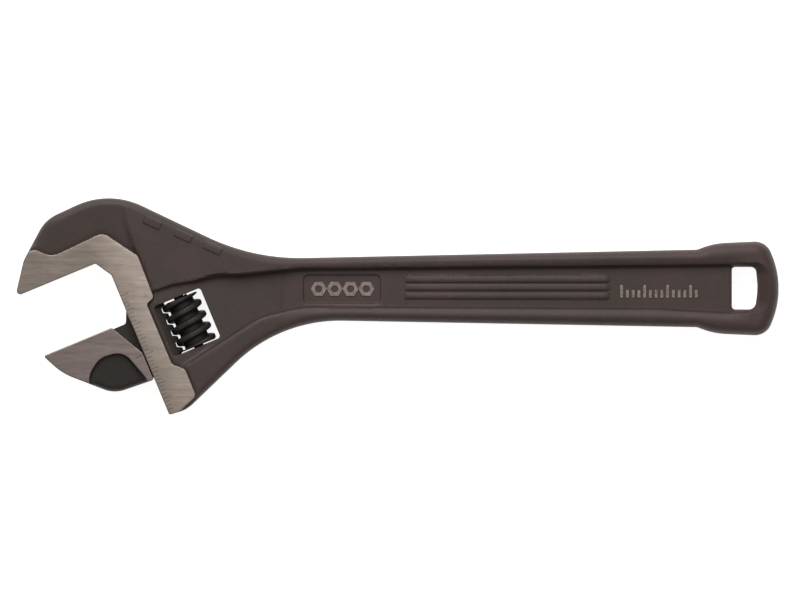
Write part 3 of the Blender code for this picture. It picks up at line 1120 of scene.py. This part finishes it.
    def _marked(self, spots: np.ndarray) -> np.ndarray:
        """Measures how far each spot is inside a raised mark.

        Args:
            spots: rows of x and y.

        Returns:
            One distance for each row.
        """
        solid = np.max([mark.distance(spots) for mark in self.marks], axis=0)
        open_eye = np.max([eye.distance(spots) for eye in self.eyes], axis=0)
        return np.minimum(solid, -open_eye)

    def _floor(self, spots: np.ndarray) -> np.ndarray:
        """Works out the panel's floor, with its frame, ribs and marks.

        Args:
            spots: rows of x and y.

        Returns:
            The floor's level at each spot.
        """
        x, y = spots.T
        inward = Matrix.Rotation(-HEAD_ANGLE, 2)
        across = (x - THROAT[0]) * inward[0][0] + (y - THROAT[1]) * inward[0][1]
        sloped = self.neck_level - self.neck_slope * np.maximum(across - self.neck_start, 0.0)
        sloped = np.maximum(sloped, self.web_level + self.neck_step)
        floor = mixed(sloped, np.full(len(x), self.web_level), ease(x, *self.neck_foot_run))
        floor -= self.recess_depth * ease(self.frame_recess.distance(spots), -0.3, 0.3)
        ends = ease(x, self.rib_start, self.rib_start + self.rib_run)
        ends = ends * ease(-x, -self.rib_end, -self.rib_end + self.rib_run)
        for middle in self.ribs:
            share = np.clip((y - middle) / self.rib_half, -1.0, 1.0)
            floor += self.rib_height * ends * np.sqrt(1.0 - share * share)
        floor += self.mark_rise * ease(self._marked(spots), -0.12, 0.12)
        return floor

    def _panelled(self, spots: np.ndarray, level: np.ndarray) -> np.ndarray:
        """Sinks the panel into the forging, with a rail that falls toward it along the grip.

        The panel's wall is steeper and plainer beside the hang hole, and softer above the neck.

        Args:
            spots: rows of x and y.
            level: the level at each spot without the panel.

        Returns:
            The level at each spot with it.
        """
        x, y = spots.T
        sunk = self.panel.distance(spots)
        by_hole = ease(x, *self.hole_run)
        on_grip = ease(x, *self.grip_run) * (1.0 - by_hole)
        level = level - self.rail_fall * on_grip * ease(sunk, *self.rail_span)
        above_neck = (y > 0) * ease(-np.abs(x - self.softest_x), *self.soft_reach)
        outer = self.wall_outer - (self.wall_outer - self.wall_outer_by_hole) * by_hole
        outer += self.wall_softer * above_neck
        inner = self.wall_inner + self.wall_inner_more * ease(x, *self.wall_inner_run)
        wall = np.clip((sunk + outer) / (outer + inner), 0.0, 1.0)
        return mixed(level, self._floor(spots), mixed(ease(wall, 0.0, 1.0), wall, by_hole))

    def height(self, spots: np.ndarray) -> np.ndarray:
        """Works out the forging's half thickness.

        Args:
            spots: rows of x and y.

        Returns:
            The half thickness at each spot.
        """
        x = spots[:, 0]
        steel = self.ground.distance(spots)
        behind = np.maximum(-steel, 0.0)
        head, grip = np.full(len(x), self.head_level), np.full(len(x), self.grip_level)
        level = mixed(head, grip, ease(x, *self.taper_run))
        dished = np.minimum(self.dish_level + self.dish_slope * behind, self.dish_top)
        level = mixed(level, dished, ease(self.dish.distance(spots), -1.0, 1.0))
        for pad in self.pads:
            level += self.pad_rise * ease(pad.distance(spots), -0.2, 0.2)
        raised = stepped(self._panelled(spots, level), behind, self.step_width)
        raised -= self.groove_depth * (1.0 - ease(np.abs(behind - self.groove_half), 0.0, self.groove_half))
        level = np.where(steel > 0, ground_flat(steel), raised)
        forged = self.forged_edge + self.boss_more * ease(x, *self.boss_more_run)
        forged += self.grip_more * ease(x, *self.grip_more_run)
        radius = mixed(np.full(len(x), self.ground_edge), forged, ease(-steel, 0.2, 3.0))
        level -= rounding(self.outline.distance(spots), radius)
        level -= rounding(-self.hole.distance(spots), np.full(len(x), self.hole_edge))
        level -= rounding(-self.window.distance(spots), np.full(len(x), self.window_edge))
        return level

    def wear(self, spots: np.ndarray) -> np.ndarray:
        """Works out how rubbed the forging is: its outer edges, and the rims of panel, ribs and pads.

        Args:
            spots: rows of x and y.

        Returns:
            A value from 0 to 1 for each spot.
        """
        x, y = spots.T
        amount = 0.55 * (1.0 - ease(self.outline.distance(spots), 0.2, 1.6))
        amount += 0.30 * (1.0 - ease(np.abs(self.panel.distance(spots) + 1.6), 0.0, 1.2))
        on_ribs = (x > self.rib_start) & (x < self.rib_end)
        for middle in self.ribs:
            amount += 0.5 * on_ribs * (1.0 - ease(np.abs(y - middle), 0.0, 0.7))
        for pad in self.pads:
            amount += 0.3 * (1.0 - ease(np.abs(pad.distance(spots)), 0.0, 0.4))
        return np.clip(amount, 0.0, 1.0)

    def finish_of(self, spots: np.ndarray) -> np.ndarray:
        """The number of each spot's finish."""
        finish = np.where(self.ground.distance(spots) > 0, BodyFinish.GROUND, BodyFinish.COATED)
        return np.where(self._marked(spots) > 0, BodyFinish.BARE, finish)

    def _sheet(self) -> Sheet:
        """Nets one side, fine where the relief turns.

        Returns:
            The net.
        """
        sheet = Sheet(self.outline, [self.hole, self.window])
        sheet.creases += [self.ground, *self.marks, *self.eyes]
        for mark in (*self.marks, *self.eyes):
            sheet.add_rings(mark, (-0.12, 0.12), 0.6)
        sheet.add_rings(self.ground, (0.12, -0.12, 0.28, -0.28, -0.45, -0.6, -0.8, -1.05, -1.35), 0.55)
        sheet.add_rings(self.outline, (0.1, 0.3, 0.6, 1.0, 1.5, 2.1, 2.8, 3.6, 4.6), 0.9)
        sheet.add_rings(self.hole, (-0.1, -0.3, -0.55, -0.9), 0.6)
        sheet.add_rings(self.window, (-0.1, -0.3), 0.6)
        sheet.add_rings(self.frame_recess, (0.01, 0.2, -0.2, 0.4, -0.4), 0.8)
        for pad in self.pads:
            sheet.add_rings(pad, (0.01, 0.15, -0.15, 0.3, -0.3), 0.5)
        wall = [0.35 * index for index in range(-11, 12) if abs(index) > 1]
        sheet.add_rings(self.panel, [0.01, 0.2, -0.2, 0.4, -0.4, *wall], 0.8)
        end = np.arange(0, 1.7, 0.4)
        xs = np.concatenate([self.rib_start + end, np.arange(158, 235, 1.5), self.rib_end - end])
        lines = []
        for middle in self.ribs:
            lines += [middle + self.rib_half * math.sin(math.radians(turn)) for turn in range(-90, 91, 15)]
        sheet.add(np.array([(x, y) for y in lines for x in xs]), 0.12)
        sheet.fill(1.25)
        return sheet

    def build(self) -> Thing:
        """Builds the forging and cuts the web's slot, the rail's bore and the pin's seat from it.

        Returns:
            The finished piece.
        """
        head = self.layout.head
        scale = Etching(
            first=-15.8, last=-65.0, pitch=1.5875, start=0.5, length=2.0, long_length=3.2, long_every=4,
            width=0.30,
        )
        # Painted sheen on the ground face, in place of reflected light: lighter further into the head, darker
        # lower down the band.
        painted_sheen = PaintedSheen((-4.5, 8.5, 0.77, 1.34), (-50.0, -26.0, 0.84, 1.0))
        steel = GroundSteel("ground_steel", (0.425, 0.352, 0.302), head, scale, painted_sheen, math.radians(-8))
        materials = [ForgedCoat().material(), steel.material(), BareMark().material()]
        relief = Relief(self._sheet(), self.height, self.finish_of, self.wear)
        thing = new_object("body_forging", relief.build(), self.layout.handle, materials)
        below = self.below_head
        slot = [(-14.1, below, 0), (RAIL_X, below, 0), (RAIL_X, self.bore_top, 0), (-0.6, self.bore_top, 0),
                (-2.65, -0.2, 0), (-14.1, -0.2, 0)]
        combine(thing, prism("web_slot", slot, -self.slot_half, self.slot_half, head), "DIFFERENCE")
        for name, radius, foot, top, x in (
            ("rail_bore", self.bore_radius, below, self.bore_top, RAIL_X),
            ("pin_seat", self.seat_radius, self.seat_foot, self.seat_top, WORM_X),
            ("pin_mouth", self.mouth_radius, below, self.mouth_top, WORM_X),
        ):
            combine(thing, rod(name, radius, foot, top, x, head), "DIFFERENCE")
        held_in(thing, "wrench_body")
        smooth(thing, 32.0)
        hand_over(thing, Body.FRAME, "wrench_body")
        return thing


@dataclass
class MovingJaw:
    """The moving jaw, its thin web and its round rail with the rack."""

    layout: Layout
    hollow_level: float = 7.4
    hollow_slope: float = 0.10
    step_width: float = 1.1
    ground_edge: float = 0.35
    forged_edge: float = 2.4
    web_half: float = 2.75
    rail_radius: float = 6.0
    rail_top: float = 3.9
    rail_length: float = 43.0
    rail_chamfer: float = 0.5
    grooves: int = 10
    groove_slope: float = math.tan(math.radians(20))
    groove_root: float = 0.75
    tip_gap: float = 0.3
    gap_above: float = 0.3
    gap_below: float = 0.8
    outline: Loop = field(init=False)
    hollow: Loop = field(init=False)

    def __post_init__(self) -> None:
        """Draws the outlines, in the jaw's frame."""
        self.outline = Loop([
            (-37.6, 0, 0.8), (-33.2, -9.4, 25), (-17.0, -24.8, 12), (-0.3, -25.8, 0.8), (-0.3, -14.1, 0.8),
            (-7.9, 0, 0.8),
        ], 0.6)
        self.hollow = Loop([
            (-29.0, -27.0, 0), (-23.3, -13.8, 8), (-17.0, -9.2, 9), (-7.2, -10.5, 7), (-2.4, -25.2, 0),
            (-2.4, -32, 0),
        ], 0.5)

    def height(self, spots: np.ndarray) -> np.ndarray:
        """Works out the jaw's half thickness.

        Args:
            spots: rows of x and y.

        Returns:
            The half thickness at each spot.
        """
        inside = self.hollow.distance(spots)
        floor = self.hollow_level - self.hollow_slope * np.clip(-spots[:, 1] - 9.0, 0.0, 20.0)
        level = np.where(inside > 0, stepped(floor, inside, self.step_width), ground_flat(-inside))
        edges = np.full(len(spots), self.ground_edge), np.full(len(spots), self.forged_edge)
        return level - rounding(self.outline.distance(spots), mixed(*edges, ease(inside, 0.2, 2.5)))

    def wear(self, spots: np.ndarray) -> np.ndarray:
        """How rubbed each spot is."""
        return 0.5 * (1.0 - ease(self.outline.distance(spots), 0.2, 1.4))

    def finish_of(self, spots: np.ndarray) -> np.ndarray:
        """The number of each spot's finish."""
        return np.where(self.hollow.distance(spots) > 0, JawFinish.COATED, JawFinish.GROUND)

    def _grooves(self) -> Thing:
        """Makes one cutter for the rack's grooves, which lean as the worm's thread does.

        Returns:
            The cutter.
        """
        lead, radius = AdjustingWorm.lead, AdjustingWorm.radius
        lean = math.atan(lead / (math.pi * (radius + AdjustingWorm.core)))
        root_x, mouth_x = WORM_X - radius - self.tip_gap, RAIL_X + self.rail_radius + self.tip_gap
        root = self.groove_root
        mouth = root + (radius - (WORM_X - mouth_x)) * self.groove_slope
        first = AdjustingWorm.crest_at - WORM_MIDDLE + lead / 2
        first += lead * math.floor((-OPENING + self.rail_top - first) / lead + 0.5)
        below, above = self.gap_below, self.gap_above
        corners = ((root_x, -root - below), (mouth_x, -mouth - below), (mouth_x, mouth + above),
                   (root_x, root + above))
        bm = bmesh.new()
        for index in range(self.grooves):
            ring = [bm.verts.new((x, y, -12.0)) for x, y in corners]
            far = verts_of(bmesh.ops.extrude_face_region(bm, geom=[bm.faces.new(ring)]))
            bmesh.ops.translate(bm, verts=far, vec=(0, 0, 24.0))
            groove = ring + far
            bmesh.ops.rotate(bm, verts=groove, cent=(0, 0, 0), matrix=Matrix.Rotation(-lean, 3, "X"))
            bmesh.ops.translate(bm, verts=groove, vec=(0, first - index * lead, 0))
        bmesh.ops.recalc_face_normals(bm, faces=bm.faces)
        return new_object("rack_grooves", bm, self.layout.head)

    def build(self) -> Thing:
        """Builds the jaw, joins its web and rail, and cuts the rack.

        Returns:
            The finished piece.
        """
        sheet = Sheet(self.outline, [])
        sheet.creases.append(self.hollow)
        sheet.add_rings(self.hollow, (0.12, -0.12, 0.28, -0.28, 0.5, 0.8, 1.1), 0.5)
        sheet.add_rings(self.outline, (0.1, 0.3, 0.6, 1.0, 1.5, 2.1), 0.6)
        sheet.fill(1.0)
        relief = Relief(sheet, self.height, self.finish_of, self.wear)
        place = self.layout.jaw
        pointer = Etching(
            first=-15.0, last=-15.0, pitch=40.0, start=-3.8, length=3.0, long_length=3.0, long_every=2,
            width=0.4,
        )
        # Painted sheen on the jaw's ground face, in place of reflected light: lighter from its tip toward its
        # inner edge.
        painted_sheen = PaintedSheen((-36.0, 0.0, 0.93, 1.10))
        grain_turn = math.radians(-20)
        steel = GroundSteel("jaw_steel", (0.280, 0.225, 0.207), place, pointer, painted_sheen, grain_turn, 0.40)
        coat = ForgedCoat("jaw_coat", (0.036, 0.028, 0.024), (0.030, 0.025, 0.021))
        materials = [steel.material(), coat.material()]
        thing = new_object("sliding_jaw", relief.build(), place, materials)
        top = self.rail_top
        web_corners = [(-13.9, -14.1, 0), (-0.3, -25.0, 0), (RAIL_X, -25.0, 0), (RAIL_X, top, 0), (0, top, 0),
                       (-2.05, -0.8, 1.5), (-13.9, -0.8, 0)]
        web = prism("jaw_web", web_corners, -self.web_half, self.web_half, place)
        foot = top - self.rail_length
        rail = rod("jaw_rail", self.rail_radius, foot, top, RAIL_X, place, self.rail_chamfer)
        combine(thing, painted(web, materials, JawFinish.COATED), "UNION")
        combine(thing, painted(rail, materials, JawFinish.COATED), "UNION")
        combine(thing, painted(self._grooves(), materials, JawFinish.COATED), "DIFFERENCE")
        held_in(thing, "moving_jaw")
        smooth(thing, 32.0)
        hand_over(thing, Body.JAW, "moving_jaw")
        return thing


@dataclass
class AdjustingWorm:
    """The worm: one right-hand thread round a bored core."""

    layout: Layout
    radius: float = 7.86
    core: float = 5.38
    half: float = 10.2
    lead: float = 4.9
    crest_at: float = 5.8
    crest_flat: float = 0.30
    crest_power: float = 2.4
    root_half: float = 1.50
    chamfer: float = 0.4
    chamfer_slope: float = 1.6
    core_chamfer: float = 0.3
    serrations: int = 48
    serration_depth: float = 0.10
    bore: float = 2.2
    spring_bore: float = 3.8
    spring_depth: float = 8.4
    around: int = 240
    along: int = 205

    def surface(self, angle: float, y: float) -> tuple[float, float]:
        """Works out the worm's surface at one spot.

        Args:
            angle: how far round the axis the spot is.
            y: its height along the axis.

        Returns:
            The radius there, and how rubbed it is.
        """
        climb = y - self.crest_at + self.lead * angle / FULL_TURN
        off = (climb + self.lead / 2) % self.lead - self.lead / 2
        share = min(max((abs(off) - self.crest_flat) / (self.root_half - self.crest_flat), 0.0), 1.0)
        crest = math.sqrt(max(0.0, 1.0 - share ** self.crest_power))
        tooth = 0.5 - 0.5 * math.cos(self.serrations * angle)
        radius = self.radius - (self.radius - self.core) * (1.0 - crest)
        radius -= self.serration_depth * tooth * max(0.0, crest - 0.75) * 4
        inward = self.half - abs(y)
        end = self.radius - max(0.0, self.chamfer - inward) * self.chamfer_slope
        core_end = self.core - self.core_chamfer + min(inward, self.core_chamfer)
        return min(radius, max(end, core_end)), max(0.0, crest - 0.6) * 2.2

    def build(self) -> Thing:
        """Bends a flat grid round the axis, raises the thread on it, and bores it through.

        Returns:
            The finished piece.
        """
        bm = bmesh.new()
        worn = bm.verts.layers.float.new("wear")
        bmesh.ops.create_grid(bm, x_segments=self.around, y_segments=self.along, size=0.5)
        for vert in bm.verts:
            angle = FULL_TURN * (vert.co.x + 0.5)
            y = 2 * self.half * vert.co.y
            radius, vert[worn] = self.surface(angle, y)
            vert.co = (radius * math.cos(angle), y, radius * math.sin(angle))
        bmesh.ops.remove_doubles(bm, verts=bm.verts, dist=1e-4)
        shelf = self.half - self.spring_depth
        upper = ((self.spring_bore, self.half), (self.spring_bore, shelf), (self.bore, shelf))
        lower = ((self.bore, -self.half),)
        ends = []
        rim = [edge for edge in bm.edges if edge.is_boundary]
        for side, rings in ((1, upper), (-1, lower)):
            edges = [edge for edge in rim if side * edge.verts[0].co.y > self.half * 0.99]
            for radius, y in rings:
                made = bmesh.ops.extrude_edge_only(bm, edges=edges)
                for vert in verts_of(made):
                    out = Vector((vert.co.x, vert.co.z)).normalized() * radius
                    vert.co = (out.x, y, out.y)
                    vert[worn] = 0.0
                edges = [part for part in made["geom"] if isinstance(part, bmesh.types.BMEdge)]
            ends += edges
        bmesh.ops.bridge_loops(bm, edges=ends)
        bmesh.ops.recalc_face_normals(bm, faces=bm.faces)
        thing = new_object("worm_thread", bm, self.layout.worm, [BlackOxide().material()])
        held_in(thing, "adjusting_worm")
        smooth(thing, 40.0)
        hand_over(thing, Body.WORM, "adjusting_worm")
        return thing


@dataclass
class WormPin:
    """The pin that the worm turns on, with its slotted head in the wall below the window."""

    layout: Layout
    radius: float = 2.0
    head_radius: float = 3.0
    top: float = -18.6
    foot: float = -59.9
    head_length: float = 12.5
    chamfer: float = 0.4
    shoulder_chamfer: float = 0.2
    slot_depth: float = 1.5
    slot_half: float = 0.5

    def build(self) -> Thing:
        """Turns the pin, chamfers its ends and cuts the slot.

        Returns:
            The finished piece.
        """
        top, foot, chamfer, head_radius = self.top, self.foot, self.chamfer, self.head_radius
        shoulder = foot + self.head_length
        profile = [
            (0, top), (self.radius - chamfer, top), (self.radius, top - chamfer), (self.radius, shoulder),
            (head_radius - self.shoulder_chamfer, shoulder), (head_radius, shoulder - self.shoulder_chamfer),
            (head_radius, foot + chamfer), (head_radius - chamfer, foot), (0, foot),
        ]
        thing = turned("worm_axle", profile, WORM_X, 64, self.layout.head)
        corners = box_corners(WORM_X - 6, foot - 5, WORM_X + 6, foot + self.slot_depth)
        slot = prism("pin_slot", corners, -self.slot_half, self.slot_half, self.layout.head)
        materials = [BlackOxide("pin_oxide").material()]
        painted(thing, materials, 0)
        combine(thing, painted(slot, materials, 0), "DIFFERENCE")
        smooth(thing, 30.0)
        hand_over(thing, Body.FRAME, "worm_pin")
        return thing


@dataclass
class WormSpring:
    """The spring that presses the worm down, with its ends closed."""

    layout: Layout
    wire: float = 0.9
    coil_radius: float = 3.05
    turns: float = 4.5
    top: float = -25.35
    foot: float = -33.25
    steps: int = 40

    def build(self) -> Thing:
        """Spins a round section down a helix and caps it.

        Returns:
            The finished piece.
        """
        bm = bmesh.new()
        made = bmesh.ops.create_circle(bm, cap_ends=False, segments=14, radius=self.wire / 2)
        bmesh.ops.translate(bm, verts=made["verts"], vec=(self.coil_radius, self.top, 0))
        count = round(self.turns * self.steps)
        bmesh.ops.spin(
            bm, geom=[*bm.verts, *bm.edges], cent=(0, 0, 0), axis=(0, -1, 0), angle=FULL_TURN * self.turns,
            dvec=(0, (self.foot - self.top) / count, 0), steps=count,
        )
        bmesh.ops.holes_fill(bm, edges=bm.edges, sides=0)
        bmesh.ops.recalc_face_normals(bm, faces=bm.faces)
        bmesh.ops.translate(bm, verts=bm.verts, vec=(WORM_X, 0, 0))
        thing = new_object("coil_spring", bm, self.layout.head, [SpringWire().material()])
        smooth(thing, 40.0)
        hand_over(thing, Body.FRAME, "worm_spring")
        return thing


@dataclass(frozen=True)
class Softbox:
    """A square soft light aimed at the middle of the wrench."""

    name: str
    place: tuple[float, float, float]
    size: float
    energy: float

    def build(self) -> None:
        """Hangs the light in its place."""
        data = bpy.data.lights.new(self.name, "AREA")
        data.size = self.size
        data.energy = self.energy
        light = bpy.data.objects.new(self.name, data)
        light.location = self.place
        light.rotation_euler = (Vector((0, 0, 0)) - Vector(self.place)).to_track_quat("-Z", "Y").to_euler()
        bpy.context.scene.collection.objects.link(light)


@dataclass
class Studio:
    """The pale floor, the soft lights and the camera."""

    view_width: float = 0.320
    centre: tuple[float, float] = (0.00092, 0.00252)
    camera_height: float = 0.6
    floor_half: float = 3.0
    floor_drop: float = 0.0003
    room_light: float = 0.14
    softboxes: tuple[Softbox, ...] = (
        Softbox("back_softbox", (-0.15, 0.75, 0.75), 0.7, 7.6),
        Softbox("top_softbox", (0.0, 0.05, 0.75), 1.0, 1.35),
    )

    def _floor(self) -> None:
        """Lays a wide pale floor just under the wrench."""
        bm = bmesh.new()
        bmesh.ops.create_grid(bm, x_segments=1, y_segments=1, size=self.floor_half)
        bmesh.ops.translate(bm, verts=bm.verts, vec=(0, 0, -self.floor_drop))
        nodes = Nodes("pale_floor")
        nodes.feed({
            "Base Color": (0.85, 0.85, 0.85, 1.0),
            "Roughness": 0.9,
            "Specular IOR Level": 0.1,
            "Emission Color": (1.0, 1.0, 1.0, 1.0),
            "Emission Strength": 0.85,
        })
        new_object("studio_floor", bm, Matrix.Identity(4), [nodes.material])

    def build(self) -> None:
        """Sets up the floor, the lights and the camera."""
        scene = bpy.context.scene
        self._floor()
        world = bpy.data.worlds.new("soft_room")
        world.use_nodes = True
        background = world.node_tree.nodes["Background"]
        background.inputs["Color"].default_value = (1.0, 1.0, 1.0, 1.0)
        background.inputs["Strength"].default_value = self.room_light
        scene.world = world
        for softbox in self.softboxes:
            softbox.build()
        data = bpy.data.cameras.new("camera")
        data.type = "ORTHO"
        data.ortho_scale = self.view_width
        data.clip_start, data.clip_end = 0.01, 10.0
        camera = bpy.data.objects.new("camera", data)
        camera.location = (*self.centre, self.camera_height)
        scene.collection.objects.link(camera)
        scene.camera = camera
        scene.view_settings.view_transform = "Standard"


def main() -> None:
    """Builds every piece in order."""
    logging.basicConfig(level=logging.INFO, format="%(name)s: %(message)s")
    layout = Layout()
    for maker in (WrenchBody, MovingJaw, AdjustingWorm, WormPin, WormSpring):
        maker(layout).build()
    Studio().build()


if __name__ == "__main__":
    main()
